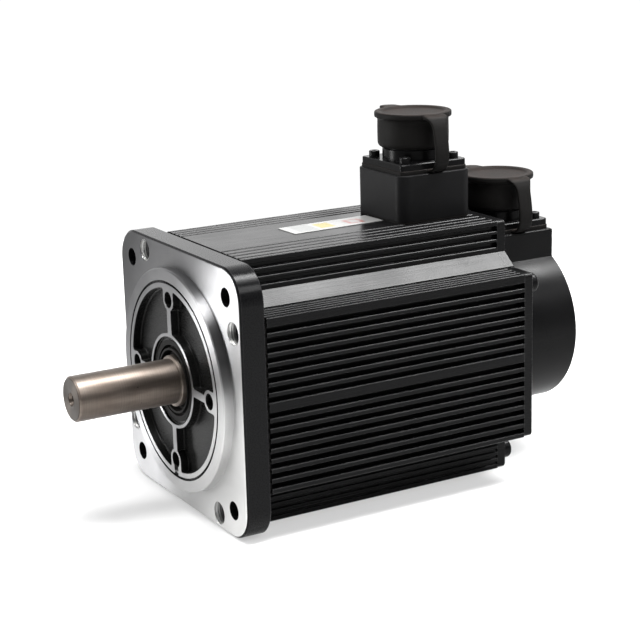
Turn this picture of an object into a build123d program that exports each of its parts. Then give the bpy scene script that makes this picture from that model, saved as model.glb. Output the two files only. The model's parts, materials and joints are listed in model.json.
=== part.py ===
from build123d import *
import math
import os

# AC servo motor, 130 mm frame, in millimetres.
# Origin: centre of the flange's mounting face. The shaft points along -Y,
# the body runs along +Y and +Z is up. "Station" means the Y position.

os.makedirs("parts", exist_ok=True)

# ---------------------------------------------------------------- driving dimensions
frame_size = 130.0
half_frame = frame_size / 2
flange_thickness = 12.5
flange_corner_radius = 16.0
pilot_diameter = 110.0
pilot_height = 5.0
mounting_pcd = 145.0
mounting_hole = 9.0

shaft_diameter = 22.0
shaft_length = 57.0
journal_diameter = 25.0

joint_gasket_thickness = 1.0
housing_start = flange_thickness + joint_gasket_thickness
housing_end = 157.0
plate_end = 162.0
cover_end = 207.0
cover_radius = 43.0
cover_wall = 2.5
bore_radius = 55.0

# pinwheel positions of the M6 screws that hold both end shields
screw_near = 35.5
screw_far = 57.5
m6_radius = 3.0
m6_clearance_radius = 3.3
m6_head_radius = 5.0
m6_head_height = 6.0
m6_screw_length = 24.0
counterbore_radius = 5.5
counterbore_depth = 10.0
channel_radius = 2.6
tapped_depth = 22.0

m5_radius = 2.5
m4_radius = 2.0
m4_clearance_radius = 2.2
m4_head_radius = 3.5
m4_head_height = 4.0
m3_radius = 1.5
m3_clearance_radius = 1.7
m3_head_radius = 2.75
m3_head_height = 3.0
fit_gap = 0.05

# power connector box on the housing, and the connector size used twice
box_size = 43.0
box_centre = 135.0
box_top = 89.0
box_wall = 2.5
box_gasket_thickness = 0.8
turret_half_width = 22.0
turret_start = 163.0
turret_top = 51.8
encoder_centre = 186.3
connector_screw_offset = 14.3
receptacle_square = 38.6
cap_base_square = 39.7
cap_base_thickness = 2.0
receptacle_flange_thickness = 3.2
wire_hole_station = 142.0
wire_hole_radius = 8.0

rearward = (0, 1, 0)
forward = (0, -1, 0)
upward = (0, 0, 1)


# ---------------------------------------------------------------- helpers
def across(station):
    """Plane across the motor axis: local x is +X and local y is +Z."""
    return Plane.XZ.offset(-station)


def level(height, station=0.0):
    """Horizontal plane at a height, centred on a station."""
    return Plane(origin=(0, station, height), x_dir=(1, 0, 0), z_dir=(0, 0, 1))


def turned(outline, mode=Mode.ADD):
    """Revolve a closed (radius, station) outline about the motor axis."""
    with BuildSketch(Plane.XY, mode=Mode.PRIVATE) as section:
        with BuildLine():
            Polyline(*outline, close=True)
        make_face()
    revolve(section.sketch, axis=Axis.Y, mode=mode)


def upright_turned(outline, station, mode=Mode.ADD):
    """Revolve a closed (radius, height) outline about a vertical axis."""
    side = Plane(origin=(0, station, 0), x_dir=(1, 0, 0), z_dir=(0, -1, 0))
    with BuildSketch(side, mode=Mode.PRIVATE) as section:
        with BuildLine():
            Polyline(*outline, close=True)
        make_face()
    revolve(section.sketch, axis=Axis((0, station, 0), upward), mode=mode)


def ring(outer, inner, start, length, mode=Mode.ADD):
    """Annular slab about the motor axis."""
    with BuildSketch(across(start), mode=Mode.PRIVATE) as section:
        Circle(outer)
        if inner > 0:
            Circle(inner, mode=Mode.SUBTRACT)
    extrude(section.sketch, amount=length, dir=rearward, mode=mode)


def holes_across(points, radius, start, length):
    """Round holes along the motor axis at (x, z) points."""
    with BuildSketch(across(start), mode=Mode.PRIVATE) as section:
        with Locations(*points):
            Circle(radius)
    extrude(section.sketch, amount=length, dir=rearward, mode=Mode.SUBTRACT)


def rods_across(points, radius, start, length, mode=Mode.ADD):
    """Round bars along the motor axis at (x, z) points."""
    with BuildSketch(across(start), mode=Mode.PRIVATE) as section:
        with Locations(*points):
            Circle(radius)
    extrude(section.sketch, amount=length, dir=rearward, mode=mode)


def rods_upright(points, radius, bottom, top, mode=Mode.ADD):
    """Round vertical bars at (x, station) points."""
    with BuildSketch(level(bottom), mode=Mode.PRIVATE) as section:
        with Locations(*points):
            Circle(radius)
    extrude(section.sketch, amount=top - bottom, dir=upward, mode=mode)


def sockets(points, across_flats, start, depth, direction):
    """Hexagon sockets sunk into screw heads that face backwards or forwards."""
    with BuildSketch(across(start), mode=Mode.PRIVATE) as section:
        with Locations(*points):
            RegularPolygon(across_flats / 2, 6, major_radius=False)
    extrude(section.sketch, amount=depth, dir=direction, mode=Mode.SUBTRACT)


def on_circle(radius, count, first_angle=0.0):
    """Points on a circle."""
    step = 360.0 / count
    angles = [math.radians(first_angle + step * index) for index in range(count)]
    return [(radius * math.cos(angle), radius * math.sin(angle)) for angle in angles]


def connector_screws_at(station):
    """The four (x, station) points of a connector's screws."""
    offsets = (-connector_screw_offset, connector_screw_offset)
    return [(x, station + y) for x in offsets for y in offsets]


def active_part():
    """The part being built in the surrounding block."""
    return BuildPart._get_context().part


mounting_points = on_circle(mounting_pcd / 2, 4, 45)
screw_points = [
    (-screw_near, screw_far),
    (screw_far, screw_near),
    (screw_near, -screw_far),
    (-screw_far, -screw_near),
]

# ---------------------------------------------------------------- front flange
seal_radius = 20.0
seal_start = -4.0
seal_seat_end = 4.2
front_bearing_start = 6.0
front_bearing_width = 15.0
front_bearing_end = front_bearing_start + front_bearing_width
front_bearing_radius = 26.0
front_boss_end = 26.0
pocket_outer = 45.5
pocket_inner = 23.3
pocket_depth = 4.4
spoke_width = 3.8
jack_hole_circle = 40.25
jack_hole_radius = 4.0
jack_boss_radius = 5.4
pilot_groove_radius = 48.5
pilot_groove_half_width = 0.65
pilot_groove_depth = 1.4
seal_recess_radius = 21.8
seal_recess_depth = 1.6
ridge_pitch = 1.25
ridge_depth = 0.55
ridge_count = 5
ridge_first = 0.6
spigot_radius = bore_radius - fit_gap
spigot_inner_radius = 49.0
spigot_length = 7.0
front_boss_radius = 34.0
drain_notch_width = 4.4
drain_notch_length = 6.0
drain_notch_depth = 0.9
circlip_groove_radius = 27.5
circlip_groove_width = 1.8


def is_pocket_corner(vertex):
    """Sharp corners where a spoke meets the hub, a boss or the outer ring."""
    radius = math.hypot(vertex.X, vertex.Y)
    return abs(radius - pocket_outer) < 0.05 or abs(radius - pocket_inner) < 0.05


def ridge(x, z, start):
    """V-shaped ring cut into the wall of a counterbore at (x, z)."""
    middle = start + ridge_pitch / 2
    side = Plane(origin=(x, 0, z), x_dir=(1, 0, 0), z_dir=(0, 0, 1))
    with BuildSketch(side, mode=Mode.PRIVATE) as section:
        with BuildLine():
            Polyline((counterbore_radius - ridge_depth, start), (counterbore_radius, start),
                     (counterbore_radius + ridge_depth, middle),
                     (counterbore_radius, start + ridge_pitch),
                     (counterbore_radius - ridge_depth, start + ridge_pitch), close=True)
        make_face()
    revolve(section.sketch, axis=Axis((x, 0, z), rearward), mode=Mode.SUBTRACT)


with BuildPart() as front_flange:
    with BuildSketch(across(0)):
        RectangleRounded(frame_size, frame_size, flange_corner_radius)
    extrude(amount=flange_thickness, dir=rearward)
    face_edges = front_flange.faces().sort_by(Axis.Y)[0].edges()
    chamfer(face_edges, length=1.0)
    back_edges = front_flange.faces().sort_by(Axis.Y)[-1].edges()
    chamfer(back_edges, length=0.5)
    ring(pilot_diameter / 2, seal_radius - 2, -pilot_height, pilot_height + 1)
    pilot_rim = front_flange.edges().filter_by(GeomType.CIRCLE).sort_by(Axis.Y)[:2]
    chamfer(pilot_rim.sort_by(SortBy.LENGTH)[-1], length=0.6)
    ring(front_boss_radius, seal_radius, flange_thickness - 1,
         front_boss_end - flange_thickness + 1)
    ring(spigot_radius, spigot_inner_radius, flange_thickness - 1, spigot_length)
    # casting pockets between the four spokes
    with BuildSketch(across(-pilot_height)) as pockets:
        Circle(pocket_outer)
        Circle(pocket_inner, mode=Mode.SUBTRACT)
        Rectangle(spoke_width, 2 * pocket_outer, mode=Mode.SUBTRACT)
        Rectangle(2 * pocket_outer, spoke_width, mode=Mode.SUBTRACT)
        with PolarLocations(jack_hole_circle, 4):
            Circle(jack_boss_radius, mode=Mode.SUBTRACT)
        with PolarLocations(jack_hole_circle + 3, 4):
            Rectangle(6, 2 * jack_boss_radius - 0.2, mode=Mode.SUBTRACT)
        fillet(pockets.vertices().filter_by(is_pocket_corner), radius=1.2)
    extrude(amount=pocket_depth, dir=rearward, mode=Mode.SUBTRACT)
    pocket_floor = -pilot_height + pocket_depth
    floors = front_flange.faces().filter_by(Axis.Y)
    floors = floors.filter_by(lambda f: abs(f.center().Y - pocket_floor) < 0.01)
    fillet(floors.edges(), radius=0.9)
    # fine turned groove near the edge of the pilot face
    ring(pilot_groove_radius + pilot_groove_half_width,
         pilot_groove_radius - pilot_groove_half_width, -pilot_height, pilot_groove_depth,
         Mode.SUBTRACT)
    # drain notch below the lowest jacking hole
    with BuildSketch(across(-pilot_height)):
        with Locations((0, -(jack_hole_circle + 5.5))):
            Rectangle(drain_notch_width, drain_notch_length)
    extrude(amount=drain_notch_depth, dir=rearward, mode=Mode.SUBTRACT)
    # seal seat, bearing seat and retaining-ring groove
    ring(seal_recess_radius, 0, -pilot_height, seal_recess_depth, Mode.SUBTRACT)
    ring(seal_radius, 0, -pilot_height, pilot_height + seal_seat_end, Mode.SUBTRACT)
    ring(17.0, 0, seal_seat_end - 1, 4.0, Mode.SUBTRACT)
    ring(front_bearing_radius, 0, front_bearing_start, 30.0, Mode.SUBTRACT)
    ring(circlip_groove_radius, 0, front_bearing_end, circlip_groove_width, Mode.SUBTRACT)
    holes_across(on_circle(jack_hole_circle, 4), jack_hole_radius, -pilot_height, 14.0)
    holes_across(mounting_points, mounting_hole / 2, -1, flange_thickness + 2)
    holes_across(screw_points, counterbore_radius, -1, counterbore_depth + 1)
    holes_across(screw_points, m6_clearance_radius, -1, flange_thickness + 2)
    # coarse ridges left by the tool in the counterbores
    for x, z in screw_points:
        for index in range(ridge_count):
            ridge(x, z, ridge_first + ridge_pitch * index)
front_flange.part.label = "front_flange"
export_step(front_flange.part, "parts/front_flange.step")

# ---------------------------------------------------------------- stator housing
# The extrusion is a square with four stepped corners, the same every quarter turn.
arm_long = 42.3
arm_short = 41.8
slope_high = 49.2
slope_low = 43.0
slope_reach = 49.5


def housing_outline():
    """Corner steps of the extrusion, one quarter repeated four times."""
    quarter = [
        (arm_short, half_frame),
        (arm_short, slope_high),
        (slope_reach, slope_low),
        (slope_reach, arm_long),
        (half_frame, arm_long),
    ]
    points = []
    for turn in range(4):
        for x, z in quarter:
            for quarter_turn in range(turn):
                x, z = z, -x
            points.append((x, z))
    return points


def is_fin_corner(vertex):
    """Outer corners of the section that stand proud, such as the tips of the fins."""
    far = max(abs(vertex.X), abs(vertex.Y))
    near = min(abs(vertex.X), abs(vertex.Y))
    on_face = abs(far - half_frame) < fit_gap
    on_wall = abs(near - arm_short) < fit_gap and far > slope_high + 1
    on_ledge = abs(near - arm_long) < fit_gap and far > slope_reach + 1
    return on_face or on_wall or on_ledge


def groove(x, z, width, depth, turn):
    """Slot cut into the top face of the section, turned by quarter turns."""
    angle = -90 * turn
    with Locations(Rotation(0, 0, angle)):
        with Locations((x, z)):
            Rectangle(width, 2 * depth, mode=Mode.SUBTRACT)


edge_break = 0.3
fin_gap = 2.6
fin_depth = 4.2
fin_count = 8
fin_pitch_high = 4.7
fin_pitch_low = 4.88
band_high = 2.3
band_low = 2.6
panel_grooves = (-34.6, -30.2, -25.8, -21.4, 21.5, 27.3, 32.8, 38.5)
panel_groove_width = 1.8
panel_groove_depth = 1.2
wall_fin_first = 61.2
wall_fin_pitch = 4.1
wall_fin_gap = 2.5
wall_fin_depth = 2.6
wall_fin_depth_shallow = 1.5
ledge_groove_first = 51.7
ledge_groove_pitch = 3.4
ledge_groove_width = 1.4
ledge_groove_depth = 1.0
quarter_turns = range(4)
side_turns = (1, 2, 3)
box_screw_points = connector_screws_at(box_centre)
box_screw_bottom = 59.0

with BuildPart() as stator_housing:
    with BuildSketch(across(housing_start)) as extrusion:
        with BuildLine():
            Polyline(*housing_outline(), close=True)
        make_face()
        # broad bevel along the left end of the top arm
        with BuildLine():
            Polyline((-36.4, 66), (-36.4, half_frame), (-arm_long, 61.6), (-44, 66), close=True)
        make_face(mode=Mode.SUBTRACT)
        # cooling fins on the two sides and the underside, either side of a flat band
        for turn in side_turns:
            for index in range(fin_count):
                high = -(band_high + fin_pitch_high * index + fin_gap / 2)
                low = band_low + fin_pitch_low * index + fin_gap / 2
                groove(high, half_frame, fin_gap, fin_depth, turn)
                groove(low, half_frame, fin_gap, fin_depth, turn)
        # fine grooves beside the flat panel on top
        for x in panel_grooves:
            groove(x, half_frame, panel_groove_width, panel_groove_depth, 0)
        for turn in quarter_turns:
            # short fins on the trailing wall of each arm
            depth = wall_fin_depth_shallow if turn in side_turns else wall_fin_depth
            for index in range(3):
                z = wall_fin_first - wall_fin_pitch * index
                groove(arm_short, z, 2 * depth, wall_fin_gap / 2, turn)
            # fine grooves on the leading ledge of each arm
            for index in range(4):
                x = ledge_groove_first + ledge_groove_pitch * index
                groove(x, arm_long, ledge_groove_width, ledge_groove_depth, turn)
        chamfer(extrusion.vertices().filter_by(is_fin_corner), length=edge_break)
        Circle(bore_radius, mode=Mode.SUBTRACT)
    extrude(amount=housing_end - housing_start, dir=rearward)
    holes_across(screw_points, channel_radius, housing_start, housing_end - housing_start)
    holes_across(screw_points, m6_radius, housing_start, tapped_depth)
    holes_across(screw_points, m6_radius, housing_end - tapped_depth, tapped_depth)
    # wire passage and tapped holes under the power connector box
    above_housing = half_frame + 5
    rods_upright([(0, wire_hole_station)], wire_hole_radius, 45, above_housing, Mode.SUBTRACT)
    rods_upright(box_screw_points, m3_radius, box_screw_bottom, above_housing, Mode.SUBTRACT)
stator_housing.part.label = "stator_housing"
export_step(stator_housing.part, "parts/stator_housing.step")

# ---------------------------------------------------------------- joint gasket and rear plate
with BuildPart() as front_gasket:
    with BuildSketch(across(flange_thickness)):
        with BuildLine():
            Polyline(*housing_outline(), close=True)
        make_face()
        offset(amount=-1.2)
        Circle(bore_radius, mode=Mode.SUBTRACT)
    extrude(amount=joint_gasket_thickness, dir=rearward)
    holes_across(screw_points, m6_clearance_radius, flange_thickness - 1, 4)
front_gasket.part.label = "front_gasket"
export_step(front_gasket.part, "parts/front_gasket.step")

rear_bearing_start = 146.0
rear_bearing_width = 14.0
rear_bearing_end = rear_bearing_start + rear_bearing_width
rear_bearing_radius = 23.5
rear_hub_end = 166.0
rear_hub_radius = 30.0
rear_hub_hole_radius = 16.0
rear_spigot_start = 152.0
standoff_points = on_circle(26.5, 3, 30)
standoff_thread = 6.0
cover_screw_points = on_circle(37.0, 4, 45)
cover_thread_depth = 5.0

with BuildPart() as rear_plate:
    with BuildSketch(across(housing_end)) as plate_outline:
        with BuildLine():
            Polyline(*housing_outline(), close=True)
        make_face()
        outer_corners = plate_outline.vertices().filter_by(
            lambda v: max(abs(v.X), abs(v.Y)) > half_frame - 1
        )
        fillet(outer_corners, radius=2.0)
    extrude(amount=plate_end - housing_end, dir=rearward)
    back_face = rear_plate.faces().sort_by(Axis.Y)[-1]
    chamfer(back_face.edges(), length=0.4)
    ring(spigot_radius, 0, rear_spigot_start, housing_end - rear_spigot_start)
    ring(rear_hub_radius, 0, rear_bearing_start, rear_hub_end - rear_bearing_start)
    ring(46.0, 36.0, rear_spigot_start - 1, 2.5, Mode.SUBTRACT)
    ring(rear_bearing_radius, 0, rear_bearing_start - 1, plate_end - rear_bearing_start + 1,
         Mode.SUBTRACT)
    ring(rear_hub_hole_radius, 0, plate_end - 1, rear_hub_end - plate_end + 2, Mode.SUBTRACT)
    holes_across(screw_points, m6_clearance_radius, housing_end - 1, 8)
    holes_across(cover_screw_points, m4_radius, plate_end - cover_thread_depth, 8)
    holes_across(standoff_points, m3_radius, rear_hub_end - standoff_thread, 8)
rear_plate.part.label = "rear_plate"
export_step(rear_plate.part, "parts/rear_plate.step")

# ---------------------------------------------------------------- shaft oil seal
seal_end = 3.0
spring_circle = 14.55
spring_thickness = 0.65
seal_lip_radius = journal_diameter / 2 + fit_gap

with BuildPart() as oil_seal:
    turned([
        (seal_radius, seal_start), (17.5, seal_start), (17.1, -1.2), (16.2, -1.2),
        (16.0, -4.4), (15.0, -4.4), (14.6, -0.8), (13.6, -0.8),
        (seal_lip_radius, -2.7), (seal_lip_radius, -2.3), (13.4, 0.0), (13.4, 0.7),
        (seal_lip_radius, 1.5), (seal_lip_radius, 1.9), (13.2, seal_end), (13.85, seal_end),
        (13.85, 1.2), (18.2, 1.2), (18.2, seal_end), (seal_radius, seal_end),
    ])
oil_seal.part.label = "oil_seal"
export_step(oil_seal.part, "parts/oil_seal.step")

with BuildPart() as oil_seal_spring:
    with BuildSketch(Plane.XY):
        with Locations((spring_circle, 2.1)):
            Circle(spring_thickness)
    revolve(axis=Axis.Y)
oil_seal_spring.part.label = "oil_seal_spring"
export_step(oil_seal_spring.part, "parts/oil_seal_spring.step")

# ---------------------------------------------------------------- ball bearings
ball_radius = 3.9
track_radius = 4.05
pocket_radius = 4.0
cage_half_width = 4.6
shield_thickness = 0.5
shield_inset = 0.6


def bearing_ring(outer, inner, start, width, pitch):
    """Bearing ring with its ball track and broken edges."""
    ring(outer, inner, start, width)
    rims = active_part().edges().filter_by(GeomType.CIRCLE)
    chamfer(rims.filter_by(lambda e: e.radius in (outer, inner)), length=0.4)
    track_centre = start + width / 2
    with BuildSketch(Plane.XY, mode=Mode.PRIVATE) as track:
        with Locations((pitch, track_centre)):
            Circle(track_radius)
    revolve(track.sketch, axis=Axis.Y, mode=Mode.SUBTRACT)


def balls(radius, pitch, count, station):
    """Spheres evenly round the motor axis."""
    centres = [(x, station, z) for x, z in on_circle(pitch, count)]
    with Locations(*centres):
        Sphere(radius)


def shields(outer, inner, start, width):
    """Thin sheet rings on both sides of a bearing."""
    ring(outer, inner, start + shield_inset, shield_thickness)
    ring(outer, inner, start + width - shield_inset - shield_thickness, shield_thickness)


def bearing_cage(outer, inner, station, count):
    """Moulded ball cage."""
    ring(outer, inner, station - cage_half_width, 2 * cage_half_width)
    for x, z in on_circle(1.0, count):
        radial = Plane(origin=(0, station, 0), x_dir=(0, 1, 0), z_dir=(x, 0, z))
        with BuildSketch(radial, mode=Mode.PRIVATE) as pocket:
            Circle(pocket_radius)
        extrude(pocket.sketch, amount=outer + 1, dir=(x, 0, z), mode=Mode.SUBTRACT)


front_pitch = 19.25
front_inner_shoulder = 16.9
front_outer_shoulder = 21.6
front_ball_count = 9
front_ball_station = front_bearing_start + front_bearing_width / 2
rear_pitch = 16.75
rear_inner_shoulder = 14.4
rear_outer_shoulder = 19.1
rear_ball_count = 8
rear_ball_station = rear_bearing_start + rear_bearing_width / 2
rear_journal_radius = 10.0
front_journal_radius = journal_diameter / 2

with BuildPart() as front_bearing_outer_ring:
    bearing_ring(front_bearing_radius, front_outer_shoulder, front_bearing_start,
                 front_bearing_width, front_pitch)
front_bearing_outer_ring.part.label = "front_bearing_outer_ring"
export_step(front_bearing_outer_ring.part, "parts/front_bearing_outer_ring.step")

with BuildPart() as front_bearing_inner_ring:
    bearing_ring(front_inner_shoulder, front_journal_radius, front_bearing_start,
                 front_bearing_width, front_pitch)
front_bearing_inner_ring.part.label = "front_bearing_inner_ring"
export_step(front_bearing_inner_ring.part, "parts/front_bearing_inner_ring.step")

with BuildPart() as front_bearing_balls:
    balls(ball_radius, front_pitch, front_ball_count, front_ball_station)
front_bearing_balls.part.label = "front_bearing_balls"
export_step(front_bearing_balls.part, "parts/front_bearing_balls.step")

with BuildPart() as front_bearing_cage:
    bearing_cage(20.4, 18.1, front_ball_station, front_ball_count)
front_bearing_cage.part.label = "front_bearing_cage"
export_step(front_bearing_cage.part, "parts/front_bearing_cage.step")

with BuildPart() as front_bearing_shields:
    shields(front_outer_shoulder, front_inner_shoulder + 0.2, front_bearing_start,
            front_bearing_width)
front_bearing_shields.part.label = "front_bearing_shields"
export_step(front_bearing_shields.part, "parts/front_bearing_shields.step")

with BuildPart() as rear_bearing_outer_ring:
    bearing_ring(rear_bearing_radius, rear_outer_shoulder, rear_bearing_start,
                 rear_bearing_width, rear_pitch)
rear_bearing_outer_ring.part.label = "rear_bearing_outer_ring"
export_step(rear_bearing_outer_ring.part, "parts/rear_bearing_outer_ring.step")

with BuildPart() as rear_bearing_inner_ring:
    bearing_ring(rear_inner_shoulder, rear_journal_radius, rear_bearing_start,
                 rear_bearing_width, rear_pitch)
rear_bearing_inner_ring.part.label = "rear_bearing_inner_ring"
export_step(rear_bearing_inner_ring.part, "parts/rear_bearing_inner_ring.step")

with BuildPart() as rear_bearing_balls:
    balls(ball_radius, rear_pitch, rear_ball_count, rear_ball_station)
rear_bearing_balls.part.label = "rear_bearing_balls"
export_step(rear_bearing_balls.part, "parts/rear_bearing_balls.step")

with BuildPart() as rear_bearing_cage:
    bearing_cage(17.9, 15.6, rear_ball_station, rear_ball_count)
rear_bearing_cage.part.label = "rear_bearing_cage"
export_step(rear_bearing_cage.part, "parts/rear_bearing_cage.step")

with BuildPart() as rear_bearing_shields:
    shields(rear_outer_shoulder, rear_inner_shoulder + 0.2, rear_bearing_start,
            rear_bearing_width)
rear_bearing_shields.part.label = "rear_bearing_shields"
export_step(rear_bearing_shields.part, "parts/rear_bearing_shields.step")

circlip_thickness = 1.6

with BuildPart() as front_bearing_circlip:
    ring(27.4, 24.2, front_bearing_end, circlip_thickness)
    with BuildSketch(across(front_bearing_end)):
        with Locations((-6.5, -23.4), (6.5, -23.4)):
            Circle(2.6)
    extrude(amount=circlip_thickness, dir=rearward)
    with BuildSketch(across(front_bearing_end)):
        with Locations((0, -26)):
            Rectangle(8, 8)
        with Locations((-6.5, -23.2), (6.5, -23.2)):
            Circle(1.0)
    extrude(amount=circlip_thickness, dir=rearward, mode=Mode.SUBTRACT)
front_bearing_circlip.part.label = "front_bearing_circlip"
export_step(front_bearing_circlip.part, "parts/front_bearing_circlip.step")

wave_start = rear_bearing_end
wave_circle = 21.45

with BuildPart() as wave_spring:
    ring(23.3, 19.6, wave_start + 0.7, 0.6)
    rods_across(on_circle(wave_circle, 3), 1.7, wave_start, 1.0)
    rods_across(on_circle(wave_circle, 3, 60), 1.7, wave_start + 1.0, 1.0)
wave_spring.part.label = "wave_spring"
export_step(wave_spring.part, "parts/wave_spring.step")

# ---------------------------------------------------------------- rotor
shaft_radius = shaft_diameter / 2
shaft_tip = -shaft_length
rotor_start = 43.0
rotor_end = 127.0
rotor_seat_radius = 16.0
rotor_core_radius = 25.0
magnet_radius = 28.6
sleeve_radius = 29.2
magnet_count = 8
end_ring_width = 3.0
end_ring_radius = 27.0
balance_hole_radius = 1.6
hub_seat_radius = 6.0
shaft_back = 176.0
lock_groove_start = rear_bearing_end
lock_groove_width = 1.2
lock_groove_radius = 9.4
shoulder_radius = 15.5
rear_shoulder_radius = 14.0
rear_journal_end = 162.5
shaft_step_radius = 12.0
shaft_step_station = -5.5
centre_thread_radius = 2.5
centre_mouth_radius = 3.4

with BuildPart() as shaft:
    turned([
        (0, shaft_tip), (shaft_radius - 1, shaft_tip), (shaft_radius, shaft_tip + 1),
        (shaft_radius, shaft_step_station), (shaft_step_radius, shaft_step_station),
        (front_journal_radius, shaft_step_station + 0.5),
        (front_journal_radius, front_bearing_end), (shoulder_radius, front_bearing_end),
        (shoulder_radius, rotor_start - end_ring_width),
        (rotor_seat_radius, rotor_start - end_ring_width),
        (rotor_seat_radius, rotor_end + end_ring_width),
        (rear_shoulder_radius, rotor_end + end_ring_width),
        (rear_shoulder_radius, rear_bearing_start), (rear_journal_radius, rear_bearing_start),
        (rear_journal_radius, lock_groove_start), (lock_groove_radius, lock_groove_start),
        (lock_groove_radius, lock_groove_start + lock_groove_width),
        (rear_journal_radius, lock_groove_start + lock_groove_width),
        (rear_journal_radius, rear_journal_end), (hub_seat_radius, rear_journal_end),
        (hub_seat_radius, shaft_back), (0, shaft_back),
    ])
    # threaded centre hole with a countersunk mouth, and the encoder screw's hole
    turned([
        (0, shaft_tip - 1), (centre_mouth_radius, shaft_tip - 1),
        (centre_mouth_radius, shaft_tip), (centre_thread_radius, shaft_tip + 1.6),
        (centre_thread_radius, shaft_tip + 20), (0, shaft_tip + 21.5),
    ], Mode.SUBTRACT)
    ring(m5_radius, 0, shaft_back - 16, 17, Mode.SUBTRACT)
shaft.part.label = "shaft"
export_step(shaft.part, "parts/shaft.step")

with BuildPart() as rotor_core:
    ring(rotor_core_radius, rotor_seat_radius, rotor_start, rotor_end - rotor_start)
    holes_across(on_circle(20.5, magnet_count), 2.2, rotor_start, rotor_end - rotor_start)
rotor_core.part.label = "rotor_core"
export_step(rotor_core.part, "parts/rotor_core.step")

with BuildPart() as rotor_magnets:
    with BuildSketch(across(rotor_start)):
        Circle(magnet_radius)
        Circle(rotor_core_radius, mode=Mode.SUBTRACT)
        with PolarLocations(rotor_core_radius, magnet_count, start_angle=22.5):
            Rectangle(12, 2.4, mode=Mode.SUBTRACT)
    extrude(amount=rotor_end - rotor_start, dir=rearward)
rotor_magnets.part.label = "rotor_magnets"
export_step(rotor_magnets.part, "parts/rotor_magnets.step")

with BuildPart() as rotor_sleeve:
    ring(sleeve_radius, magnet_radius, rotor_start, rotor_end - rotor_start)
rotor_sleeve.part.label = "rotor_sleeve"
export_step(rotor_sleeve.part, "parts/rotor_sleeve.step")

with BuildPart() as rotor_end_rings:
    ring(end_ring_radius, rotor_seat_radius, rotor_start - end_ring_width, end_ring_width)
    ring(end_ring_radius, rotor_seat_radius, rotor_end, end_ring_width)
    holes_across([(22.5, 0)], balance_hole_radius, rotor_start - end_ring_width, 2.0)
    holes_across([(-15.9, 15.9)], balance_hole_radius, rotor_end + 1.0, 2.0)
rotor_end_rings.part.label = "rotor_end_rings"
export_step(rotor_end_rings.part, "parts/rotor_end_rings.step")

with BuildPart() as rear_lock_ring:
    ring(12.4, lock_groove_radius, lock_groove_start, lock_groove_width)
    with BuildSketch(across(lock_groove_start)):
        with Locations((0, 11)):
            Rectangle(4, 6)
    extrude(amount=lock_groove_width, dir=rearward, mode=Mode.SUBTRACT)
rear_lock_ring.part.label = "rear_lock_ring"
export_step(rear_lock_ring.part, "parts/rear_lock_ring.step")

# ---------------------------------------------------------------- encoder on the shaft
disc_thickness = 1.2
disc_radius = 21.0
hub_screw_length = 14.0
hub_screw_head_height = 2.8

with BuildPart() as encoder_hub:
    turned([(hub_seat_radius, 166.5), (10, 166.5), (10, 174), (14, 174),
            (14, shaft_back), (hub_seat_radius, shaft_back)])
encoder_hub.part.label = "encoder_hub"
export_step(encoder_hub.part, "parts/encoder_hub.step")

with BuildPart() as encoder_disc:
    ring(disc_radius, m5_radius + 0.2, shaft_back, disc_thickness)
    with BuildSketch(across(shaft_back)):
        with PolarLocations(18.0, 36):
            Rectangle(3.0, 1.4)
    extrude(amount=disc_thickness, dir=rearward, mode=Mode.SUBTRACT)
encoder_disc.part.label = "encoder_disc"
export_step(encoder_disc.part, "parts/encoder_disc.step")

with BuildPart() as encoder_hub_screw:
    disc_back = shaft_back + disc_thickness
    head_back = disc_back + hub_screw_head_height
    shank_start = shaft_back - hub_screw_length
    turned([(0, shank_start), (m5_radius, shank_start), (m5_radius, disc_back),
            (4.25, disc_back), (4.25, head_back - 0.6), (3.6, head_back), (0, head_back)])
    sockets([(0, 0)], 3.0, head_back, 2.0, forward)
encoder_hub_screw.part.label = "encoder_hub_screw"
export_step(encoder_hub_screw.part, "parts/encoder_hub_screw.step")

# ---------------------------------------------------------------- stator
core_start = 45.0
core_end = 125.0
core_inner_radius = 30.0
slot_count = 12
slot_half_step = 180.0 / slot_count
insulator_thickness = 1.5
coil_overhang = 9.0
passage_width = 9.8


def stator_section(outer):
    """Laminated ring with inward teeth, between parallel-sided slots."""
    Circle(outer)
    Circle(core_inner_radius, mode=Mode.SUBTRACT)
    with PolarLocations(0, slot_count, start_angle=slot_half_step):
        Polygon((29, -1.3), (31.5, -1.3), (33.5, -4.2), (46.5, -7.6), (46.5, 7.6), (33.5, 4.2),
                (31.5, 1.3), (29, 1.3), align=None, mode=Mode.SUBTRACT)


with BuildPart() as stator_core:
    with BuildSketch(across(core_start)):
        stator_section(bore_radius)
    extrude(amount=core_end - core_start, dir=rearward)
stator_core.part.label = "stator_core"
export_step(stator_core.part, "parts/stator_core.step")

with BuildPart() as end_insulators:
    with BuildSketch(across(core_start - insulator_thickness)):
        stator_section(bore_radius - 2)
    extrude(amount=insulator_thickness, dir=rearward)
    with BuildSketch(across(core_end)):
        stator_section(bore_radius - 2)
    extrude(amount=insulator_thickness, dir=rearward)
end_insulators.part.label = "end_insulators"
export_step(end_insulators.part, "parts/end_insulators.step")

with BuildPart() as stator_coils:
    with BuildSketch(across(core_start - coil_overhang)):
        with PolarLocations(0, slot_count):
            Polygon((34.5, -8.4), (44.8, -10.9), (44.8, 10.9), (34.5, 8.4), align=None)
    extrude(amount=core_end - core_start + 2 * coil_overhang, dir=rearward)
    coil_ends = stator_coils.faces().filter_by(Axis.Y)
    fillet(coil_ends.edges(), radius=2.0)
    with BuildSketch(across(core_start - insulator_thickness)):
        with PolarLocations(40, slot_count):
            Rectangle(24, passage_width)
    extrude(amount=core_end - core_start + 2 * insulator_thickness, dir=rearward,
            mode=Mode.SUBTRACT)
stator_coils.part.label = "stator_coils"
export_step(stator_coils.part, "parts/stator_coils.step")

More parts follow.
